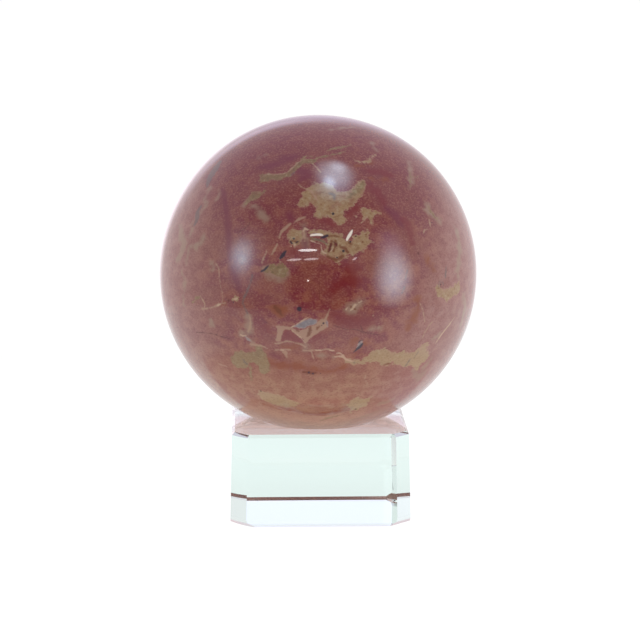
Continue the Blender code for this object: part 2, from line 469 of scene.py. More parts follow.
GOLD_PATCHES = {
    "great patch": [
        (309.6, 186.4), (312, 184), (317, 182.6), (323, 182), (330, 183.4), (334.4, 188.6), (339, 191),
        (345, 191), (350, 190.4), (353.4, 187.6), (356, 184.6), (359, 181.4), (362.4, 179.4), (366.2, 179),
        (365.6, 183), (365.8, 187.4), (364.4, 192), (361.4, 196), (358.4, 199.6), (355, 203.4), (352.4, 207),
        (348.8, 209), (345.4, 210.4), (344.6, 214), (345.6, 218.6), (345.6, 223), (341, 225.2), (336, 223.6),
        (333, 220.6), (330.4, 217.4), (326, 217.4), (322, 217), (319, 219.6), (315.6, 217), (314, 214.6),
        (315.8, 210), (316.2, 207), (313, 205.4), (310.6, 204), (308, 205.4), (305.4, 207.6), (302, 208.4),
        (298.6, 206.6), (297.6, 203), (299.6, 199.6), (302, 195.6), (303.6, 191.4), (306, 188.6),
    ],
    "ragged patch": [
        (360.4, 212), (361.4, 208.4), (364.6, 207.2), (367.4, 208.8), (370.6, 208.2), (373.6, 210.6),
        (381, 211.8), (380.6, 213.8), (376.6, 214.8), (375, 217.2), (371.8, 217.6), (372.6, 221),
        (372, 224.6), (370.6, 223.4), (369.4, 219.4), (366, 218.8), (363.6, 221.4), (361.2, 223.2),
        (362, 219.6), (364.2, 217.4), (362.2, 215),
    ],
    "vug band, left": [
        (287, 234), (289, 231), (292.6, 229.8), (297.6, 230.4), (302, 230.6), (303.4, 234.6), (301.4, 239.6),
        (300.2, 243), (298, 245.6), (294.6, 247.4), (292.4, 245.2), (290, 242.8), (288.6, 239),
    ],
    "vug band, right": [
        (308.4, 231), (311, 229.4), (317, 229.4), (322, 230.2), (327, 231.8), (333, 231.8), (338, 232.8),
        (342.6, 235.2), (346.4, 239.6), (350.6, 241.8), (352, 237.4), (355, 234.2), (358.6, 233.8),
        (361.4, 230.8), (364.4, 231.8), (367.6, 229.8), (369.6, 233.4), (367.6, 237), (370, 240.4),
        (373.4, 242), (370.2, 244.2), (367.4, 247), (364, 250.2), (359.8, 252.4), (355, 253.4),
        (351.4, 255.2), (347.8, 256.2), (344.6, 258.8), (341.4, 260.4), (338.6, 264.8), (336, 261.2),
        (331.8, 260.2), (328.8, 257.2), (325.6, 255.2), (321.6, 254), (321.4, 252), (324.4, 250.6),
        (326.6, 247.4), (327.6, 243), (326.8, 239), (322, 235.4), (315, 233.4), (309.4, 233.6),
    ],
    "golden band": [
        (344.6, 358.8), (350, 359.2), (356, 358.8), (361, 358.6), (364, 356.8), (368, 355), (371, 352),
        (375, 349.6), (380, 348.6), (384.6, 347.6), (388, 350.6), (392, 352.4), (398, 352), (403, 351.4),
        (408, 351.6), (412, 352.4), (416, 350), (420, 346.6), (423.6, 343.8), (428, 342.4), (429, 345),
        (426.4, 348.6), (429, 352), (428.6, 357), (426, 361), (421, 364), (419, 368), (416.4, 371),
        (413, 367.2), (409.6, 365.6), (405, 368.2), (401, 366), (396, 365.4), (392, 363), (389, 365.6),
        (385, 366.6), (381, 365.4), (377, 362.6), (372, 362), (367, 363), (362, 364.8), (356, 365),
        (350, 364.2), (346, 363), (344, 360.6),
    ],
    "right patch": [
        (435.6, 285), (437.4, 283.4), (439.4, 286), (441.6, 288.8), (445, 288), (449, 287.2), (453, 286.2),
        (456, 283), (458.6, 281.4), (459.8, 285), (460.4, 290), (458.6, 293), (455, 295.8), (452, 297),
        (449.6, 300.8), (446.4, 301.2), (444, 298.6), (441, 297), (437.6, 297.6), (435.4, 292),
    ],
    "bottom right patch": [
        (345.2, 404.6), (348, 403.4), (350.4, 400.4), (354, 398.2), (359, 397.2), (364, 398.4), (368, 397.6),
        (372.6, 395.2), (370.2, 399.6), (367.6, 403), (366.8, 407), (362, 407.8), (359, 409), (356.4, 411.2),
        (352.4, 411.2), (350.6, 413.8), (348.4, 413), (348.8, 408.8), (347.4, 406.8),
    ],
    "left triangle": [(231, 299.6), (235, 295.8), (238, 296), (239.4, 300.4), (236, 301.6), (232.6, 301.2)],
    "bottom band": [
        (257.6, 392.4), (260, 390.6), (264, 391.2), (268, 391.8), (273, 393.4), (278, 394.8), (284, 396.2),
        (289, 398.6), (293, 400.6), (298, 401.2), (302.6, 402.8), (298, 405), (293, 406.8), (287, 407.2),
        (281, 406.4), (275, 404.8), (269, 402.6), (264, 400.6), (260.4, 397.4), (258, 394.6),
    ],
}
CHALCEDONY = {
    "left vein's foot": [(245.6, 336.6, 1), (248, 339, 1.6), (250.4, 341.2, 1)],
    "lozenge": [(361.8, 341.4, 1.1), (360.2, 343.6, 1.6), (358.6, 345.8, 1.4), (357, 348, 0.7)],
}
CHALCEDONY_PATCHES = {
    "body's core": [
        (292.6, 326.6), (296, 324.4), (302, 321.4), (306, 319.4), (309.6, 318.2), (313, 318.6),
        (317.4, 320.2), (316.6, 323.4), (313, 325), (309.4, 326), (305, 328.2), (300, 328.4), (296, 327.6),
    ],
    "body's right lobe": [
        (324.6, 320.4), (327.4, 320.8), (328.6, 324), (328, 327), (325.4, 327), (325, 323.6),
    ],
}
TAN = {
    "streak's edge": [
        (264, 174, 0.5), (274, 174.2, 0.6), (281, 174, 0.7), (287, 172.4, 0.6), (292, 168.2, 0.7),
        (296.5, 163.8, 0.7), (301, 160.6, 0.6),
    ],
    "scratch over the streak": [(312.6, 163.4, 0.5), (316.6, 167.6, 0.8), (320.8, 172.2, 0.6)],
    "scratch into the patch": [
        (298.6, 184.4, 0.5), (302, 187, 0.8), (306.6, 189.4, 0.9), (310.6, 191, 1), (313.6, 194.4, 1.2),
        (317, 199.6, 0.8),
    ],
    "pale arc": [
        (279.2, 238, 0.9), (281, 233, 1.4), (284, 229.4, 1.7), (288, 226, 1.5), (290.6, 223.8, 0.8),
    ],
    "pale streak": [(294.4, 222.6, 0.6), (298, 219.8, 1.2), (302, 218.2, 1.2), (306, 216.2, 0.6)],
    "ragged patch's spike": [(367, 217, 1), (364, 220.4, 1), (361, 223.4, 0.6)],
    "first sliver": [(266.6, 251.6, 0.5), (264.4, 256.4, 1), (262, 262.4, 0.9)],
    "second sliver": [(277.4, 243.6, 0.6), (275, 248.8, 1.2), (271.8, 254.4, 0.9)],
    "third sliver": [(279.6, 258.6, 0.5), (280.2, 263.4, 0.6)],
    "sparkling column": [(303.6, 231.6, 1), (304.2, 236, 1.3), (305, 241, 0.8)],
    "body's spike": [(324.6, 320.6, 1.6), (327, 315.6, 1), (329.8, 309.4, 0.5)],
    "network's upper vein": [
        (274.8, 343.6, 0.9), (280.4, 342.8, 1), (286.6, 341.4, 0.8), (291, 341.8, 0.8), (296, 343.2, 1),
        (301, 344.2, 0.9), (305, 347, 1.2),
    ],
    "network's lower vein": [
        (303, 350.2, 0.8), (309, 350.8, 0.9), (315, 350.2, 0.8), (321, 350.2, 0.9), (326, 349.2, 0.9),
        (330.6, 349.8, 0.9), (334.6, 350.8, 0.6),
    ],
    "network's T": [(275.6, 350.4, 0.8), (281, 349.8, 1), (286, 349.8, 1), (290.6, 349.8, 0.7)],
    "lower vein's drop": [(311.2, 351.4, 0.9), (312.8, 355.6, 0.9), (314.2, 360.6, 0.5)],
    "left vein's end": [(250.4, 344.2, 0.9), (256, 344.8, 1.2), (262, 346.2, 1.1), (267.6, 348.6, 0.7)],
    "thin right line": [(419.6, 303, 0.4), (422.6, 309, 0.6), (423.8, 315, 0.7), (424.8, 322, 0.4)],
    "pale right line": [(433, 321, 0.6), (428.8, 326, 0.9), (425, 332, 0.8), (422.6, 338, 0.4)],
    "faint mark": [(365.6, 375.6, 0.6), (365, 379, 0.7), (367.4, 382.4, 0.7), (365.6, 386, 0.4)],
    "left hair": [
        (215.6, 263, 0.6), (218.4, 268, 0.7), (219.2, 275, 0.8), (220, 283, 0.6), (221.6, 290, 0.5),
        (222.8, 297, 0.5), (222, 302.4, 0.4),
    ],
    "left fork's handle": [(200.4, 296, 0.8), (202.6, 300, 0.8), (204.8, 304, 0.8), (204.2, 308, 1)],
    "left fork": [
        (202.6, 309, 1.2), (209, 308.2, 0.9), (214, 306.8, 0.7), (217.4, 305.4, 1.2), (221, 303.8, 1),
        (225.4, 302.8, 0.5),
    ],
    "left foot's stem": [(249.4, 315, 0.6), (250.6, 321, 1), (250, 327, 1.3), (248.4, 332, 1.1)],
    "foot line": [(217.4, 363.4, 0.6), (222.4, 365, 1), (228, 366.6, 0.6)],
    "upper right fleck": [(423.4, 232.6, 0.6), (424.6, 230.2, 0.9), (427, 229.4, 0.5)],
    "right sliver": [(429.2, 219.6, 0.6), (429.8, 223.4, 0.9), (430.8, 226.8, 0.5)],
    "golden band's fringe": [(420, 349.6, 0.7), (424.4, 346, 1), (429.6, 342, 0.6)],
}
TAN_PATCHES = {
    "body's lower side": [
        (290.8, 327.6), (294, 328.4), (298, 329.6), (303, 329.4), (308, 327), (312, 325.6), (316, 324.4),
        (318, 321), (321, 319), (324.6, 319), (325.6, 322.6), (327.6, 326.4), (325.4, 328.8), (319.6, 331.8),
        (313.4, 336), (308.4, 340), (305.8, 343.4), (302, 338.8), (297, 335), (292.4, 331.6),
    ],
    "left leg": [
        (276.4, 325.8), (283, 326), (291, 327.2), (290.6, 329.6), (284.6, 330), (282.6, 334), (281, 339),
        (280, 341.6), (275.6, 341.2), (276.6, 335), (277, 330),
    ],
    "T's drop": [(281.6, 350.6), (287, 350.6), (287.4, 354.6), (288, 359), (286, 358), (283.6, 354)],
}
CREAM = {
    "body's upper edge": [(291, 327.6, 0.5), (297, 324, 0.6), (303.6, 320, 0.6), (308.6, 317.4, 0.5)],
    "pink patch's grain": [
        (350.4, 310.6, 0.6), (352.8, 308.2, 1.2), (354.6, 305.4, 1.3), (357.8, 304.2, 0.7),
    ],
    "pink patch's far grain": [(358.6, 302.6, 0.9), (362, 301.4, 0.6)],
    "pink patch's near grain": [(346, 309.6, 0.7), (348, 307.4, 0.5)],
    "left triangle's grain": [(234, 299.4, 1.1), (236.8, 298.4, 1.1)],
    "knot": [
        (335.4, 356.6, 0.8), (339.6, 356.4, 1.1), (343.4, 356.8, 1.3), (346, 359.4, 1.3), (350, 360.8, 1),
        (353.4, 361, 0.6),
    ],
    "knot's end": [(336.6, 353.4, 0.5), (340, 353.2, 0.9), (343.4, 355.4, 1)],
    "sparkle": [(303.4, 231, 0.7), (305, 228.8, 1.2), (307.6, 229.8, 0.9)],
    "pocket's sill": [
        (310.8, 240.6, 0.6), (316, 242.6, 0.7), (321, 244.6, 0.6), (321.6, 249, 0.6), (323.4, 252.4, 0.7),
        (326, 253.4, 0.8),
    ],
    "sill's end": [(330.4, 251.6, 0.7), (332.6, 249.4, 0.8), (334, 246, 0.5)],
    "T's grain": [(280.6, 350, 0.7), (284, 350.2, 0.6)],
    "fork's grain": [(217.4, 305.6, 0.8), (220.4, 304.2, 0.7)],
    "left foot's side": [(240.6, 334.6, 0.7), (243, 335.8, 0.9), (246, 335.4, 0.6)],
    "lower vein's middle": [(316, 350.4, 0.7), (320.6, 350.2, 0.7)],
    "lower vein's end": [(329.6, 350.2, 0.7), (333.8, 350.6, 0.7)],
    "golden hair": [
        (454.6, 317, 0.6), (449, 325, 0.9), (443.4, 332, 1), (439, 338, 0.9), (435.4, 343.6, 0.6),
    ],
    "body's lower edge": [(291.6, 329.8, 0.4), (296.6, 334.2, 0.7), (301.4, 338.2, 0.7), (305, 342.6, 0.6)],
}
BLOOD = {
    "long drop": [(331, 243.6, 0.6), (330.4, 247, 1.1), (329, 251.6, 0.8)],
    "short drop": [(334, 242, 0.9), (336.4, 245, 0.7)],
    "left line": [
        (196, 332.4, 0.3), (205, 332.8, 0.45), (213, 334, 0.5), (222, 336.8, 0.45), (232, 339, 0.3),
    ],
}
CRIMSON_PATCHES = {
    "in the network": [
        (282.6, 330.4), (288.6, 329.4), (292.6, 333), (297.4, 336.8), (302, 340.2), (301, 342.6),
        (295, 341.6), (289, 340.2), (282.6, 341.2), (281.2, 336),
    ],
}
CRIMSON = {
    "right of the body": [(311, 341, 2), (317, 338, 3), (325, 336.4, 2)],
    "under the great patch": [(305, 212, 1), (309, 209.4, 1.6), (311.4, 211, 1.2)],
    "beyond the horn": [(371, 186, 3.4), (378, 194, 4.6), (384, 202, 4)],
    "right of the great patch": [(349, 212.6, 2), (352.4, 209.4, 1.6), (356, 206, 1.2)],
    "below the great patch": [(323, 221, 1.8), (328.4, 221.6, 2), (331.6, 225, 1.4)],
    "beside the lower strip": [(292, 252.4, 1.6), (299, 254.4, 1.8), (304, 254, 1.4)],
    "right of the overhead lamp": [(365, 171, 2.6), (373, 171.6, 4.6), (383, 172.6, 4.6), (391, 176, 3)],
    "right side": [(405, 219, 2.4), (409, 232, 2.6), (413, 243, 2)],
    "under the vug band": [(345, 263, 2.4), (350, 267, 4.4), (358, 268, 3.4)],
    "right of the centre": [(328, 294, 3), (336, 286, 4.6), (348, 282, 5.4), (360, 281, 4)],
    "above the crack": [(334, 314, 3), (344, 321, 5.4), (358, 323, 6), (371, 319, 4)],
    "left of the body": [(256, 320, 2.6), (263, 325, 3.6), (268, 331, 3)],
}
CRACKS = {
    "right crack": [
        (332.6, 325, 0.3), (339.6, 327.4, 0.4), (346, 329.2, 0.4), (352, 329.2, 0.4), (357.4, 330, 0.5),
        (363, 331.9, 0.6), (369.5, 333.2, 0.5), (376, 334.4, 0.4), (385.5, 336.4, 0.25),
    ],
    "crack's branch": [(360.6, 325.6, 0.4), (362, 329, 0.6), (363, 333, 0.4)],
    "left crack": [(261, 318.6, 0.3), (266, 322, 0.4), (271.6, 324.6, 0.3)],
    "upper left crack": [(238.6, 232.4, 0.3), (244, 229, 0.4), (249, 224.6, 0.5), (249.4, 222.6, 0.4)],
    "hair at the centre": [(319.6, 282, 0.25), (319.4, 300, 0.25)],
}
SLATE = {
    "left vein": [
        (252.4, 275, 0.7), (250.2, 283, 1.1), (247.2, 291, 1.2), (244, 298, 1.1), (243, 304, 1.1),
        (245.6, 309, 1), (247.4, 314, 0.8),
    ],
    "streak's notch": [(291.4, 174.6, 0.8), (294, 172.4, 1)],
    "grey window": [(328.6, 193, 0.8), (333.6, 195, 1.8), (334.2, 198.6, 1.8)],
    "lens's edge": [(313, 238.8, 0.6), (319, 239.8, 0.9), (323.4, 242, 0.8), (326.6, 243.4, 0.6)],
    "left arc": [(219.4, 162.4, 3), (215.8, 168, 5.4), (212.6, 173, 6), (209.4, 179, 4.4), (207.6, 186, 2)],
    "left green fleck": [(200.4, 207, 2), (197.4, 213, 3.4), (197, 219, 3), (194.4, 225, 1.6)],
    "golden band's slash": [(404.6, 367.4, 0.7), (407.4, 363.4, 1.3), (410.2, 359, 1)],
    "golden band's thin slash": [(414, 358, 0.5), (416.6, 354.4, 0.7), (418.6, 351.6, 0.4)],
    "eye": [
        (438.6, 286.6, 0.6), (439, 283.2, 0.7), (441.4, 281.6, 0.7), (443.4, 283.8, 0.7), (442.6, 287, 0.6),
    ],
    "spot in the olive": [(243.4, 359.6, 0.9), (244.6, 362, 1.3), (247, 363.8, 0.9)],
    "right lamp's streak": [(405.4, 279, 0.5), (406.5, 274.5, 1.1), (407.3, 270.5, 0.5)],
    "right lamp's lower streak": [(402, 293, 0.6), (404, 288.6, 1.2), (405.2, 286, 0.5)],
    "right patch's smear": [(446.6, 266, 0.6), (445.6, 272, 1.4), (445.4, 277.6, 1)],
}
DARK = {
    # The lens's hollow is painted shade: a dark stroke where a cavity lies that the mesh doesn't sink
    "painted shade in the lens's hollow": [(321, 238, 0.8), (324.4, 236.8, 1.5), (327.6, 235.6, 1)],
    "vug band's left edge": [(290.6, 241.4, 0.7), (292, 243.6, 0.7)],
    "vug band's left notch": [(296, 242.6, 0.7), (298, 241.4, 0.6)],
    "navy piece": [(286.2, 250.8, 0.6), (284, 253.6, 1.7), (281.6, 256.8, 1.8), (280, 258.8, 0.7)],
    "slivers' wedge": [(261, 271.4, 0.7), (264.4, 269.6, 1.2), (268.4, 265.8, 0.8)],
    "lozenge's tip": [(362.6, 343.4, 0.6), (360.8, 345.8, 1.3), (357.6, 348.6, 1.4), (353.6, 352, 0.7)],
    "lozenge's top": [(358.6, 342.6, 0.4), (360.6, 340.6, 0.6), (363, 340.4, 0.5)],
}
UMBER = {
    "rust spot's heart": [(275, 307, 1.4), (278.6, 310.6, 2.2), (281.6, 314.6, 1.3)],
    "body's left grain": [(296.6, 330.2, 1.1), (298.6, 331, 0.8)],
    "body's drop": [(310.4, 327.6, 1.2), (309.4, 332, 1.9), (307.6, 336.4, 1)],
    "body's right grain": [(317, 328.4, 1.1), (319.4, 326.4, 0.8)],
    "vug band's first shadow": [(331.8, 241.4, 0.9), (330.6, 246, 1.6), (328.6, 251.4, 1.3)],
    "vug band's second shadow": [(335.6, 241, 1.1), (335.4, 246, 1.6), (333.4, 251, 1)],
    "vug band's third shadow": [(340, 246, 1), (345, 249, 1.6), (348, 252.4, 1)],
    "vug band's low edge": [(327.6, 256.4, 1), (333, 258.8, 1.6), (338, 259, 1.8), (343.4, 256.4, 1.2)],
    "hollow's arch": [(329, 236.4, 0.8), (334, 235.8, 1), (339, 237, 0.8)],
    "spar's stain": [(349, 242.6, 1), (351.6, 244.2, 0.8)],
    "vug band's left marks": [(290.6, 242, 0.9), (292.6, 240.4, 0.7), (296.8, 242.4, 0.8)],
    "rust band's spot": [(303.6, 372, 1.4), (309.6, 372.8, 2), (316, 373, 1.2)],
    "golden band's shade": [(384, 365, 0.9), (390, 363.6, 0.8)],
}
GLINT = {
    "lens's lip": [(310.8, 235.4, 0.9), (314, 234.8, 1.2), (319, 234.6, 1.2), (322.6, 235.2, 0.9)],
    "spar": [(346.8, 239.8, 1.1), (348.6, 236.8, 1.5), (350.8, 233.2, 1.4), (352.2, 230.2, 0.7)],
}
RUST = {
    "rust spot": [(275.6, 307.4, 3.8), (279.4, 311, 4.6), (282, 315, 3)],
    "rust band": [
        (264, 361.6, 1.6), (271, 363.4, 2.8), (280, 364.6, 3.8), (290, 366, 4), (301, 367.8, 3.6),
        (312, 369.6, 2.6), (324, 371, 2), (336, 370, 2.4), (346, 367.4, 2),
    ],
    "low arc": [
        (264, 404, 0.8), (272, 406.6, 1.1), (280, 408.2, 1.3), (288, 409.8, 1.8), (296, 411.6, 2.1),
        (305, 413.4, 2.3), (314, 414, 2.1), (323, 413.6, 1.9), (332, 412, 1.6), (341, 410.4, 1.4),
        (347, 410, 0.8),
    ],
    "lozenge's halo": [(352, 340, 2), (355, 339.4, 2.2), (358, 338.4, 1.4)],
    "halo's lower side": [(364, 345, 2.4), (361, 350, 2.6), (356, 353.4, 1.8)],
    "right zone": [(417, 299, 2.6), (418.6, 305, 3.4), (416.6, 312, 3.2), (412, 320, 4), (409, 327, 2.6)],
    "streak's lip": [(262, 182.4, 1), (270, 182.2, 1.6), (279, 181, 1.4), (285, 179, 1)],
    "crescent's lip": [(358, 165, 0.8), (364, 166, 1.3), (370, 163.4, 0.9)],
    "left fork's end": [(224, 302, 1), (228, 301, 1.6), (230.6, 300.4, 1)],
    "network's fill": [(282, 346.4, 1.6), (290, 346, 2), (298, 347.4, 1.8)],
    "right smear": [(427, 260, 2.6), (428.6, 265, 3), (433, 269, 3.2)],
    "top smear": [(371, 177.6, 1.4), (379, 179.6, 2), (387, 178, 1.6)],
}
PURPLE = {
    "beside the left lamp": [(232, 268, 3), (236, 280, 4), (240, 290, 2.6)],
    "below the streak": [(289, 214, 2.4), (291, 219, 2.8)],
    "under the streak's end": [(300, 170, 3.4), (307, 174, 4.6), (300, 180, 2)],
    "beside the vug band": [(305, 243, 1.4), (305.6, 248, 1.2)],
    "under the T": [(272, 354.6, 2), (278, 356.4, 3.2), (282, 360, 1.6)],
    "above the streak": [(282, 158, 4), (290, 158, 5), (297, 156, 3)],
    "upper left limb": [(206, 176, 2.4), (210, 181, 2.6)],
    "over the streak's left end": [(260, 167, 3), (271, 165.6, 4.4), (282, 162, 3)],
    "beside the great patch": [(386, 208, 3), (396, 216, 4.4), (401, 225, 3)],
    "left seam": [
        (222.4, 189, 1.4), (224.4, 200, 2.6), (226.2, 212, 3.2), (227.6, 226, 3.1), (228.6, 238, 3.2),
        (229.2, 250, 2.4), (230, 262, 1.2),
    ],
}
# Pale beige: streaks and patches of the stone; the strokes along the limb and the rims are a painted pale
# sheen where the ball mirrors the bright tent
BEIGE = {
    "right limb": [
        (456.4, 229, 3), (458.6, 238, 5), (459.6, 249, 5), (459, 259, 4.4), (458, 268, 3.6), (458, 276, 3.4),
    ],
    "right low limb": [(463.6, 296, 2.6), (465, 305, 3.2), (463, 316, 2.6), (460, 326, 1.6)],
    "right streak": [
        (409.6, 162, 1), (409.8, 170, 1.8), (410, 177, 2.2), (410.6, 183, 2.6), (409.8, 188, 1.6),
    ],
    "left shoulder": [(179, 226, 1.6), (181, 234, 4), (183.6, 242, 5), (182.4, 251, 4.4), (177, 260, 3)],
    "left upper rim": [
        (210.6, 185, 1.4), (208.6, 191, 2), (205.4, 198, 2.4), (205, 206, 2.2), (199.6, 213, 1.6),
    ],
    "left streak": [(219.6, 191, 0.9), (218.6, 196, 1.2), (217, 200, 0.7)],
    "pale spot": [(211.4, 264, 1.8), (213.6, 266.6, 3), (212.6, 270, 1.6)],
    "under the golden band": [(414, 371, 3.6), (420, 377, 5.4), (424, 368, 4), (431, 359, 3.4)],
    "low band": [(296, 421, 1.4), (305, 422.6, 1.8), (315, 422.4, 1.6)],
    "leaf's tail": [(244.4, 204.6, 1.2), (246.6, 201.8, 1.7), (249, 199, 1.2)],
    "above the streak": [(258.4, 158, 1.6), (262, 156.4, 2.4), (265, 155, 1.4)],
    "left smear": [(210.6, 320.6, 2), (213, 326, 2.2)],
    "upper rim": [(331, 130, 0.9), (338, 128.4, 1.4), (346, 127.4, 1.4), (353, 127, 0.8)],
    "right upper rim": [(372, 143, 1.2), (374.6, 147.4, 1.5), (377, 150.6, 0.8)],
    "under the lower vein": [(317, 355.4, 1.2), (325, 355.8, 1.6), (333, 356.6, 1.2)],
    "bottom right patch's shoulder": [(346, 411, 2), (345.4, 406, 1.4)],
    "sparkling column": [(303.6, 226, 1.8), (304, 231, 3.2), (304.8, 238, 4), (306, 245, 3)],
    "right of the golden hair": [(433, 338, 1.6), (437.6, 335.6, 1.8), (441, 331, 1)],
    "left of the vug band": [(254, 207, 3), (260, 212, 4.4), (266, 218, 3.4)],
    "right of the crack": [(371, 330, 2), (378, 328, 2.4)],
    "low right": [(380, 403, 1.6), (387, 402, 2), (394, 399, 1.2)],
    "low right rim": [(352, 420, 1.4), (364, 416.6, 3), (376, 411.4, 3)],
    "left shoulder's hook": [
        (203.6, 238.6, 2), (199.4, 243.4, 3.2), (194.6, 246, 3.4), (190, 247.4, 3.2), (187.6, 253, 2.8),
        (187, 259, 2.4), (185.6, 264, 1.2),
    ],
    "left shoulder's line": [(193, 222, 1), (191.4, 230, 1.6), (189.6, 239, 1.8)],
    "left low line": [
        (181.4, 272, 1.2), (184, 279, 1.6), (185, 288, 1.9), (183.6, 296, 2.6), (183.6, 304, 1.8),
    ],
}
BEIGE_PATCHES = {
    "left foot": [
        (246.6, 313), (250, 314), (252.6, 318), (254, 324), (253, 329), (253.4, 334), (251.6, 338),
        (253.4, 342), (251.6, 344.4), (248.6, 341), (245, 338.4), (240.4, 336.6), (239.4, 333), (241.4, 330),
        (245.6, 328.6), (246.6, 324), (245.6, 319),
    ],
    "network's stem": [
        (303.4, 340), (307, 341.4), (309.4, 346), (311, 350.4), (306, 352), (302.6, 349.6), (303.4, 345.4),
    ],
    "right wedge": [
        (425, 203), (428.5, 202.6), (430.8, 206), (431.5, 210), (435, 213.6), (438.6, 218), (441.6, 223),
        (437.4, 221.8), (433, 218.6), (429, 214.8), (425.4, 211.4), (422.6, 209.6), (424.6, 206.4),
    ],
    "pink patch": [
        (343.6, 309), (348, 304), (354, 301.6), (359, 299.8), (365.4, 299.8), (362.6, 305.2), (359, 308.2),
        (357, 312.6), (352, 314.8), (346.6, 312.6),
    ],
    "slivers' shade": [(262, 267), (270, 264), (280, 264), (288, 268), (289, 276), (282, 281), (270, 278)],
}
# Specks and pits that stand alone: x, y and half width of each
DOTS = {
    "tan": {
        "spark in the red": [(373.2, 315.6, 0.9)],
        "below the great patch": [(356, 216.4, 1), (351.6, 221, 0.7)],
    },
    "cream": {
        "vug band's grains": [(294.8, 244.6, 1), (291.2, 246.4, 0.9)],
    },
    "blood": {
        "beside the long drop": [(336.8, 248.4, 0.8)],
        "left fork's end": [(228.6, 300.8, 1.1)],
        "right side": [(418.6, 253.6, 1.2)],
        "top": [(407, 199.6, 0.9), (416.4, 197.4, 0.8)],
    },
    "slate": {
        "great patch": [(333, 205.8, 0.8)],
        "golden band": [(354.4, 362.6, 0.8), (357.6, 363, 0.6)],
        "T and left leg": [(285.8, 354.8, 0.7), (277.8, 338.6, 0.8)],
        "right lamp": [(401, 266, 0.6), (400.4, 274, 0.6), (395, 279.6, 0.5)],
    },
    "dark": {
        "navy dot": [(299.2, 309, 2.3)],
        "body": [(323.4, 323.2, 1.1), (321.6, 325.4, 0.6)],
        "rust band": [(308.8, 372.6, 1.2), (312.8, 373.6, 0.8), (320.6, 373.4, 0.6)],
        "under the left triangle": [(233.6, 302.2, 0.8)],
    },
    "umber": {
        "vug band": [(355.6, 236.2, 1), (366, 234.8, 0.9), (362.6, 241.8, 0.9)],
        "pink patch": [(351, 306.8, 0.9), (355, 309.2, 0.8)],
    },
    "pit": {
        "vug band": [(293.8, 238.6, 1.1), (343.4, 250.8, 1.4), (337, 257.4, 0.9)],
        "spar": [(356, 236, 0.8), (350.4, 241.6, 0.9)],
        "great patch": [(333, 213.6, 1.4)],
        "eye": [(441, 284.6, 0.9)],
        "bottom": [(260.8, 391.2, 0.8), (355.4, 409.4, 1.1)],
        "right sliver": [(432, 222.6, 0.7)],
    },
}

# A pixel of the picture at the ball's front, how finely a stroke's curve is drawn, and how far outside a
# mineral its depth is still measured
PIXEL = 0.2252 * MM
STROKE_STEP = 0.35 * MM
FARTHEST = -1.6 * MM

# The minerals in the order in which their strokes are drawn, each with its strokes, its patches, and how
# fine the mesh is where its edge runs
MINERALS = {
    "beige": (BEIGE, BEIGE_PATCHES, 0.60 * MM),
    "purple": (PURPLE, {}, 0.80 * MM),
    "rust": (RUST, {}, 0.80 * MM),
    "crimson": (CRIMSON, CRIMSON_PATCHES, 0.40 * MM),
    "olive": (OLIVE, OLIVE_PATCHES, 0.36 * MM),
    "gold": (GOLD, GOLD_PATCHES, 0.36 * MM),
    "chalcedony": (CHALCEDONY, CHALCEDONY_PATCHES, 0.36 * MM),
    "slate": (SLATE, {}, 0.24 * MM),
    "tan": (TAN, TAN_PATCHES, 0.20 * MM),
    "cream": (CREAM, {}, 0.20 * MM),
    "umber": (UMBER, {}, 0.24 * MM),
    "blood": (BLOOD, {}, 0.20 * MM),
    "crack": (CRACKS, {}, 0.20 * MM),
    "dark": (DARK, {}, 0.20 * MM),
    "glint": (GLINT, {}, 0.20 * MM),
    "pit": ({}, {}, 0.11 * MM),
}

# The side that the picture doesn't show: how many strokes of each, their length and their half width (mm)
HIDDEN = {
    "beige": (7, 9.0, 1.0),
    "purple": (5, 12.0, 0.8),
    "rust": (6, 9.0, 0.8),
    "olive": (7, 8.0, 0.9),
    "gold": (6, 6.0, 1.5),
    "tan": (20, 6.0, 0.2),
    "umber": (12, 1.6, 0.3),
    "crack": (5, 8.0, 0.1),
    "dark": (10, 0.5, 0.3),
}
# How those strokes are drawn: their seed, the step along them, how near the limb they start, as a cosine
# from the middle of the back, how they bend at each step, how their length and width vary, and their ends
HIDDEN_SEED = 7
HIDDEN_STEP = 1.1 * MM
HIDDEN_EDGE = 0.15
HIDDEN_BEND = 0.45
LENGTH_SPREAD = (0.5, 1.4)
WIDTH_SPREAD = (0.6, 1.3)
THIN_END = 0.3

# How fine the ball is before and after the minerals' borders refine it, and its natural pits
BALL_SUBDIVISIONS = 6
REFINE_ROUNDS = 4
PIT_DEPTH = 0.16 * MM
PIT_WALL = (-0.04 * MM, 0.12 * MM)

# The stone's patterns: size (mm), detail and roughness of each, and how much finer all are along each axis
GRAINS = {
    "cloud": (9.0, 2.0, 0.5),
    "mottle": (2.6, 3.0, 0.55),
    "fleck": (1.1, 3.0, 0.6),
    "grain": (0.42, 2.0, 0.6),
    "fray": (0.9, 4.0, 0.6),
}
LIE = (1.0, 1.0, 1.35)

# The red body's grounds, upper, lower and side. The lower one is browner stone and paler, partly as painted
# light from the bright floor below; its palest band at the very bottom is a painted reflection of that
# floor, and its back is darker and redder. Each is a colour with others laid over it: the pattern or place
# that lays each, where that starts and where it is full, its strength and its colour
GROUNDS = [
    (
        "#80343A",
        ("mottle", 0.38, 0.64, 1.0, "#985644"),
        ("cloud", 0.44, 0.62, 0.6, "#8C4C40"),
        ("height", 58 * MM, 78 * MM, 0.6, "#7A342F"),
    ),
    # The lower ground, paler partly as painted light from the floor below; its height layer is a painted
    # reflection of the bright floor at the bottom
    (
        "#9C684F",
        ("mottle", 0.36, 0.66, 1.0, "#AC8060"),
        ("height", 30 * MM, 18 * MM, 0.9, "#D6B698"),
        ("depth", 2 * MM, 12 * MM, 0.95, "#84301F"),
    ),
    ("#9A655B", ("mottle", 0.36, 0.66, 1.0, "#A7786D")),
]
FINE_GRAINS = [("grain", 0.50, 0.70, 0.45, "#AC7662"), ("grain", 0.49, 0.30, 0.40, "#662428")]
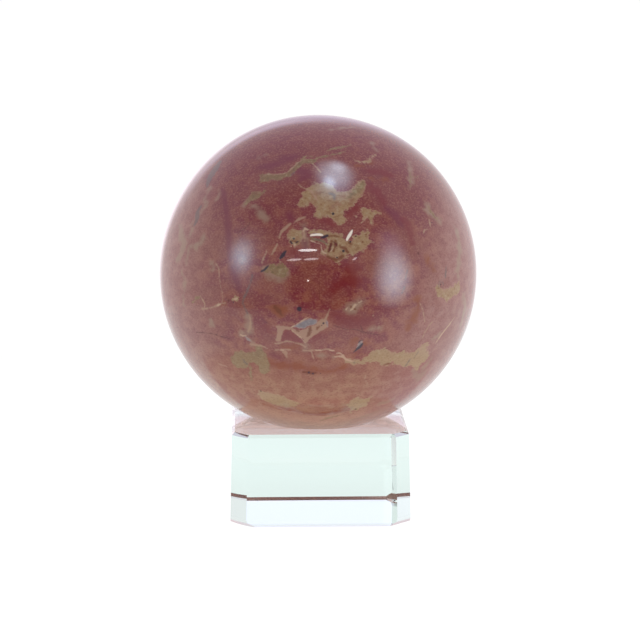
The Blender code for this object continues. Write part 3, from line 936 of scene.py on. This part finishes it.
# Where the lower ground, paler partly as painted light from the floor, and the sides lie: where each starts,
# where it is full, and its strength
LOWER_EDGE = (46 * MM, 32 * MM)
RIGHTWARDS = (0.94, 0.0, -0.34)
RIGHT_EDGE = (-6 * MM, 9 * MM, 0.85)
LEFT_EDGE = (-19 * MM, -33 * MM, 0.8)

# Soft zones and lines of one colour: how far the edge frays, the depth (mm) where it starts and where it
# is full, its strength, and its colour
ZONES = {
    # beige: pale stone streaks, and a painted pale sheen along the limb
    "beige": (3.4, -0.70, 0.90, 0.70, "#9E8068"),
    "purple": (2.6, -0.80, 0.75, 0.70, "#722036"),
    "rust": (4.2, -0.85, 0.80, 0.85, "#8C4626"),
    "crimson": (4.6, -0.95, 0.95, 0.72, "#7A1E26"),
}
LINES = {
    "slate": (0.9, -0.24, 0.34, 0.62, "#655A56"),
    "tan": (0.8, -0.14, 0.22, 0.85, "#AE866A"),
    "cream": (0.6, -0.10, 0.18, 0.90, "#C4A284"),
    "umber": (0.9, -0.24, 0.22, 0.85, "#74391E"),
    "blood": (0.6, -0.14, 0.18, 0.90, "#5E1C18"),
    "crack": (0.3, -0.10, 0.12, 0.60, "#54191B"),
    "dark": (0.4, -0.12, 0.16, 0.95, "#30202E"),
    "glint": (0.2, -0.08, 0.14, 1.00, "#F4E2CC"),
    # pit: the sunk pits' dark fill, partly dirt in them and partly painted shade
    "pit": (0.2, -0.06, 0.10, 0.92, "#301914"),
}
# Massive minerals: how far the edge frays, and the colours of the rim, the body and its pale and dark flecks
MASSES = {
    "gold": (2.4, "#AE866A", "#A6845C", "#B49C74", "#86603A"),
    "olive": (2.0, "#94704F", "#866842", "#A08C64", "#6C5234"),
    "chalcedony": (0.9, "#AC988E", "#827C7E", "#98928E", "#7E726E"),
}
# How each of their parts is laid: where it starts, where it is full, and its strength
PALE_FLECKS = (0.50, 0.68, 0.8)
DARK_FLECKS = (0.47, 0.32, 0.75)
BARE_STONE = (0.50, 0.68, 0.35)
# Paler low down: painted light from the bright floor below
PAINTED_FLOOR_LIGHT_LOW = (48 * MM, 34 * MM, 0.8)
INSIDE_RIM = (0.02 * MM, 0.35 * MM)
DARK_GRAINS = (0.50, 0.32, 0.35)
MASS_EDGE = (-0.16 * MM, 0.24 * MM, 0.88)


def smooth_route(points, closed=False):
    """Points (x, y, z, half width) on a smooth curve through the given ones, one each stroke step."""
    points = [np.array(p) for p in points]
    if len(points) == 1:
        return np.array(points)
    count = len(points)
    out = []
    for i in range(count if closed else count - 1):
        start, end = points[i], points[(i + 1) % count]
        before = points[i - 1] if i or closed else 2 * start - end
        after = points[(i + 2) % count] if closed or i + 2 < count else 2 * end - start
        steps = max(1, round(float(np.linalg.norm((end - start)[:3])) / STROKE_STEP))
        square = 2 * before - 5 * start + 4 * end - after
        cube = 3 * start - before - 3 * end + after
        for t in np.arange(steps) / steps:
            out.append(start + ((end - before) * t + square * t**2 + cube * t**3) / 2)
    if not closed:
        out.append(points[-1])
    out = np.array(out)
    out[:, :3] *= BALL_RADIUS / np.linalg.norm(out[:, :3], axis=1, keepdims=True)
    return out


def spots_near(spots, route, reach):
    """The middle of a route, drawn out to the sphere, and the spots that the route can reach."""
    middle = route[:, :3].mean(axis=0)
    middle *= BALL_RADIUS / np.linalg.norm(middle)
    extent = np.linalg.norm(route[:, :3] - middle, axis=1).max() + reach
    return middle, np.nonzero(((spots - middle) ** 2).sum(axis=1) < extent**2)[0]


def off_line(spots, start, end):
    """The share of a line at which it passes each spot, and how far off it passes."""
    span = end - start
    share = np.clip((spots - start) @ span / max(span @ span, TINY), 0, 1)
    return share, np.linalg.norm(spots - start - share[:, None] * span, axis=1)


def lay_stroke(depth, spots, route):
    """Raises the depth inside a mineral to the distance from the stroke's edge, negative outside it."""
    near = spots_near(spots, route, route[:, 3].max() - FARTHEST)[1]
    if not len(near):
        return
    best = np.full(len(near), FARTHEST)
    starts = route[:-1] if len(route) > 1 else route
    ends = route[1:] if len(route) > 1 else route
    for start, end in zip(starts, ends):
        share, away = off_line(spots[near], start[:3], end[:3])
        best = np.maximum(best, start[3] + (end[3] - start[3]) * share - away)
    depth[near] = np.maximum(depth[near], best)


def lay_patch(depth, spots, outline):
    """Raises the depth inside a mineral to the distance from the outline, negative outside it."""
    middle, near = spots_near(spots, outline, -FARTHEST)
    if not len(near):
        return
    across = np.cross(middle, (0, 0, 1.0))
    across /= np.linalg.norm(across)
    upward = np.cross(across, middle)
    upward /= np.linalg.norm(upward)
    flat = np.stack([outline[:, :3] @ across, outline[:, :3] @ upward], axis=1)
    here = np.stack([spots[near] @ across, spots[near] @ upward], axis=1)
    away = np.full(len(near), np.inf)
    inside = np.zeros(len(near), bool)
    for start, end in zip(flat, np.roll(flat, -1, axis=0)):
        away = np.minimum(away, off_line(here, start, end)[1])
        crosses = (start[1] > here[:, 1]) != (end[1] > here[:, 1])
        run, rise = end - start
        rise = np.where(abs(rise) < TINY, TINY, rise)
        inside ^= crosses & (here[:, 0] < start[0] + (here[:, 1] - start[1]) * run / rise)
    depth[near] = np.maximum(depth[near], np.where(inside, away, -away))


def route_on_front(points):
    """A stroke drawn over the picture, as a route on the ball."""
    return smooth_route([(*on_ball(x, y), width * PIXEL) for x, y, width in points])


def outline_on_front(points):
    """A patch's outline drawn over the picture, as a closed route on the ball."""
    return smooth_route([(*on_ball(x, y), 0.0) for x, y in points], closed=True)


def route_on_back(chance, length, half_width):
    """A stroke that wanders over the side turned away from the camera and thins out at its ends."""
    backward = camera_axes()[3]
    spot = Vector((0.0, 0.0, 0.0))
    while spot.length < 0.1 or spot.normalized().dot(backward) < HIDDEN_EDGE:
        spot = Vector([chance.gauss(0, 1) for _ in range(3)])
    spot.normalize()
    heading = spot.orthogonal().normalized()
    heading.rotate(Quaternion(spot, chance.uniform(0, math.tau)))
    steps = max(1, round(length * chance.uniform(*LENGTH_SPREAD) * MM / HIDDEN_STEP))
    points = []
    for step in range(steps + 1):
        share = math.sin(math.pi * (step + 0.5) / (steps + 1))
        width = half_width * MM * (THIN_END + (1 - THIN_END) * share) * chance.uniform(*WIDTH_SPREAD)
        points.append((*(spot * BALL_RADIUS), width))
        heading.rotate(Quaternion(spot, chance.gauss(0, HIDDEN_BEND)))
        spot = (spot + heading * HIDDEN_STEP / BALL_RADIUS).normalized()
        heading = (heading - spot * heading.dot(spot)).normalized()
    return smooth_route(points)


def draw_minerals():
    """Every stroke, dot and outline on the ball, as routes by mineral."""
    chance = random.Random(HIDDEN_SEED)
    drawn = {}
    for mineral, (strokes, patches, _) in MINERALS.items():
        dots = [[dot] for group in DOTS.get(mineral, {}).values() for dot in group]
        routes = [route_on_front(points) for points in [*strokes.values(), *dots]]
        count, length, half_width = HIDDEN.get(mineral, (0, 0.0, 0.0))
        routes += [route_on_back(chance, length, half_width) for _ in range(count)]
        drawn[mineral] = (routes, [outline_on_front(points) for points in patches.values()])
    return drawn


def depths_of(spots, drawn):
    """How deep each spot lies inside each mineral, in metres."""
    depths = {}
    for mineral, (routes, outlines) in drawn.items():
        depth = np.full(len(spots), FARTHEST)
        for route in routes:
            lay_stroke(depth, spots, route)
        for outline in outlines:
            lay_patch(depth, spots, outline)
        depths[mineral] = depth
    return depths


def spots_of(bm):
    """The mesh's points, measured from the ball's centre."""
    return np.array([v.co for v in bm.verts]) - np.array(BALL_CENTRE)


def refine(bm, drawn):
    """Halves the edges that a mineral's border crosses, until the mesh is as fine there as it asks."""
    for _ in range(REFINE_ROUNDS):
        spots = spots_of(bm)
        bm.verts.index_update()
        bm.edges.ensure_lookup_table()
        ends = np.array([[v.index for v in edge.verts] for edge in bm.edges])
        length = np.linalg.norm(spots[ends[:, 0]] - spots[ends[:, 1]], axis=1)
        split = np.zeros(len(ends), bool)
        for mineral, depth in depths_of(spots, drawn).items():
            nearest = np.abs(depth[ends]).min(axis=1)
            split |= (length > MINERALS[mineral][2]) & (nearest < length)
        edges = [bm.edges[i] for i in np.nonzero(split)[0]]
        bmesh.ops.subdivide_edges(bm, edges=edges, cuts=1, use_grid_fill=True)
        bmesh.ops.triangulate(bm, faces=[f for f in bm.faces if len(f.verts) > 3])
        for vert in bm.verts:
            vert.co = BALL_CENTRE + (vert.co - BALL_CENTRE).normalized() * BALL_RADIUS


def sink_pits(bm, depth):
    """Sinks the little natural pits that the polishing left open."""
    low, high = PIT_WALL
    share = np.clip((depth - low) / (high - low), 0, 1)
    for vert, sunk in zip(bm.verts, PIT_DEPTH * share**2 * (3 - 2 * share)):
        if sunk > 0:
            vert.co -= (vert.co - BALL_CENTRE).normalized() * sunk


def polish(ball, spots, pit_depth):
    """Gives the ball a true sphere's normals everywhere but in its pits."""
    normals = spots / np.linalg.norm(spots, axis=1, keepdims=True)
    rough = np.nonzero(pit_depth > 2 * PIT_WALL[0])[0]
    for i in rough:
        normals[i] = ball.data.vertices[int(i)].normal
    ball.data.normals_split_custom_set_from_vertices(normals)


def frayed(tree, mineral, fray, reach):
    """How deep the surface lies inside a mineral, with its smooth border frayed by a fine pattern."""
    depth = add(tree, "ShaderNodeAttribute", {"attribute_name": mineral}).outputs["Fac"]
    swing = add(tree, "ShaderNodeMath", {"operation": "SUBTRACT"}, {0: fray, 1: 0.5}).outputs[0]
    shift = {0: swing, 1: reach * MM, 2: depth}
    return add(tree, "ShaderNodeMath", {"operation": "MULTIPLY_ADD"}, shift).outputs[0]


def lay_all(tree, under, layers, fields):
    """Lays each layer's colour over the one before, where its pattern or place has it."""
    for field, start, full, strength, colour in layers:
        under = lay_over(tree, under, linear(colour), fields[field], start, full, strength)
    return under


def jasper_ground(tree, fields):
    """The red body: maroon and brick clouds and fine grains, paler and browner low down and at the sides,
    the paleness low down partly painted light and a painted reflection from the bright floor.
    """
    upper, lower, side = (lay_all(tree, linear(base), layers, fields) for base, *layers in GROUNDS)
    # The lower ground: paler partly as painted light from the bright floor below
    red = lay_over(tree, upper, lower, fields["height"], *LOWER_EDGE)
    red = lay_over(tree, red, side, fields["rightwards"], *RIGHT_EDGE)
    red = lay_over(tree, red, side, fields["across"], *LEFT_EDGE)
    return lay_all(tree, red, FINE_GRAINS, fields)


def lay_minerals(tree, under, looks, fray):
    """Lays the minerals of one colour, each with its border frayed by the pattern."""
    for mineral, (reach, start, full, strength, colour) in looks.items():
        depth = frayed(tree, mineral, fray, reach)
        under = lay_over(tree, under, linear(colour), depth, start * MM, full * MM, strength)
    return under


def lay_mass(tree, under, fields, mineral, look):
    """Lays a massive mineral with a paler rim, mottled inside and, as painted light from the floor, paler
    low down, over what is under it.
    """
    reach, rim, body, pale, dark = look
    depth = frayed(tree, mineral, fields["fray"], reach)
    inside = lay_over(tree, linear(body), linear(pale), fields["fleck"], *PALE_FLECKS)
    inside = lay_over(tree, inside, linear(dark), fields["fleck"], *DARK_FLECKS)
    inside = lay_over(tree, inside, under, fields["mottle"], *BARE_STONE)
    inside = lay_over(tree, inside, linear(pale), fields["height"], *PAINTED_FLOOR_LIGHT_LOW)
    inside = lay_over(tree, linear(rim), inside, depth, *INSIDE_RIM)
    inside = lay_over(tree, inside, linear(dark), fields["grain"], *DARK_GRAINS)
    return lay_over(tree, under, inside, depth, *MASS_EDGE)


def polished_jasper():
    """
    Red jasper, ground round and polished to a mirror: an opaque maroon body of fine grains, crossed by
    olive and golden clay-stained seams with pale rims, thin tan veins, and grey chalcedony with small pits.
    """
    material, tree, shader = new_material("polished red jasper", {"Roughness": 0.03, "IOR": 1.64})
    place = add(tree, "ShaderNodeTexCoord").outputs["Object"]
    lie = add(tree, "ShaderNodeVectorMath", {"operation": "MULTIPLY"}, {0: place, 1: LIE}).outputs[0]
    axes = add(tree, "ShaderNodeSeparateXYZ", None, {"Vector": place}).outputs
    fields = {"across": axes["X"], "depth": axes["Y"], "height": axes["Z"]}
    facing = {0: place, 1: RIGHTWARDS}
    dot = add(tree, "ShaderNodeVectorMath", {"operation": "DOT_PRODUCT"}, facing).outputs["Value"]
    fields["rightwards"] = dot
    for name, (size, detail, roughness) in GRAINS.items():
        noise = {"Vector": lie, "Scale": 1 / (size * MM), "Detail": detail, "Roughness": roughness}
        fields[name] = add(tree, "ShaderNodeTexNoise", None, noise).outputs["Fac"]
    stone = jasper_ground(tree, fields)
    stone = lay_minerals(tree, stone, ZONES, fields["mottle"])
    for mineral, look in MASSES.items():
        stone = lay_mass(tree, stone, fields, mineral, look)
    stone = lay_minerals(tree, stone, LINES, fields["fray"])
    tree.links.new(stone, shader.inputs["Base Color"])
    return material


def make_ball():
    """The ball: its mesh is finest where minerals meet, and holds the depth inside each as an attribute."""
    drawn = draw_minerals()
    bm = bmesh.new()
    bmesh.ops.create_icosphere(bm, subdivisions=BALL_SUBDIVISIONS, radius=BALL_RADIUS)
    bmesh.ops.translate(bm, verts=bm.verts, vec=BALL_CENTRE)
    refine(bm, drawn)
    for face in bm.faces:
        face.smooth = True
    spots = spots_of(bm)
    depths = depths_of(spots, drawn)
    sink_pits(bm, depths["pit"])
    ball = mesh_object("jasper_ball", bm)
    polish(ball, spots, depths["pit"])
    for mineral, depth in depths.items():
        attribute = ball.data.attributes.new(mineral, "FLOAT", "POINT")
        attribute.data.foreach_set("value", depth.astype(np.float32))
    ball.data.materials.append(polished_jasper())
    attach(ball, "root")
    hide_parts("stone_sphere")


scene = bpy.context.scene
scene.view_settings.view_transform = "Standard"
scene.cycles.max_bounces = 32
scene.cycles.transmission_bounces = 32
scene.cycles.glossy_bounces = 16
make_camera()
make_world()
make_floor()
make_block()
make_ball()

bpy.context.view_layer.update()
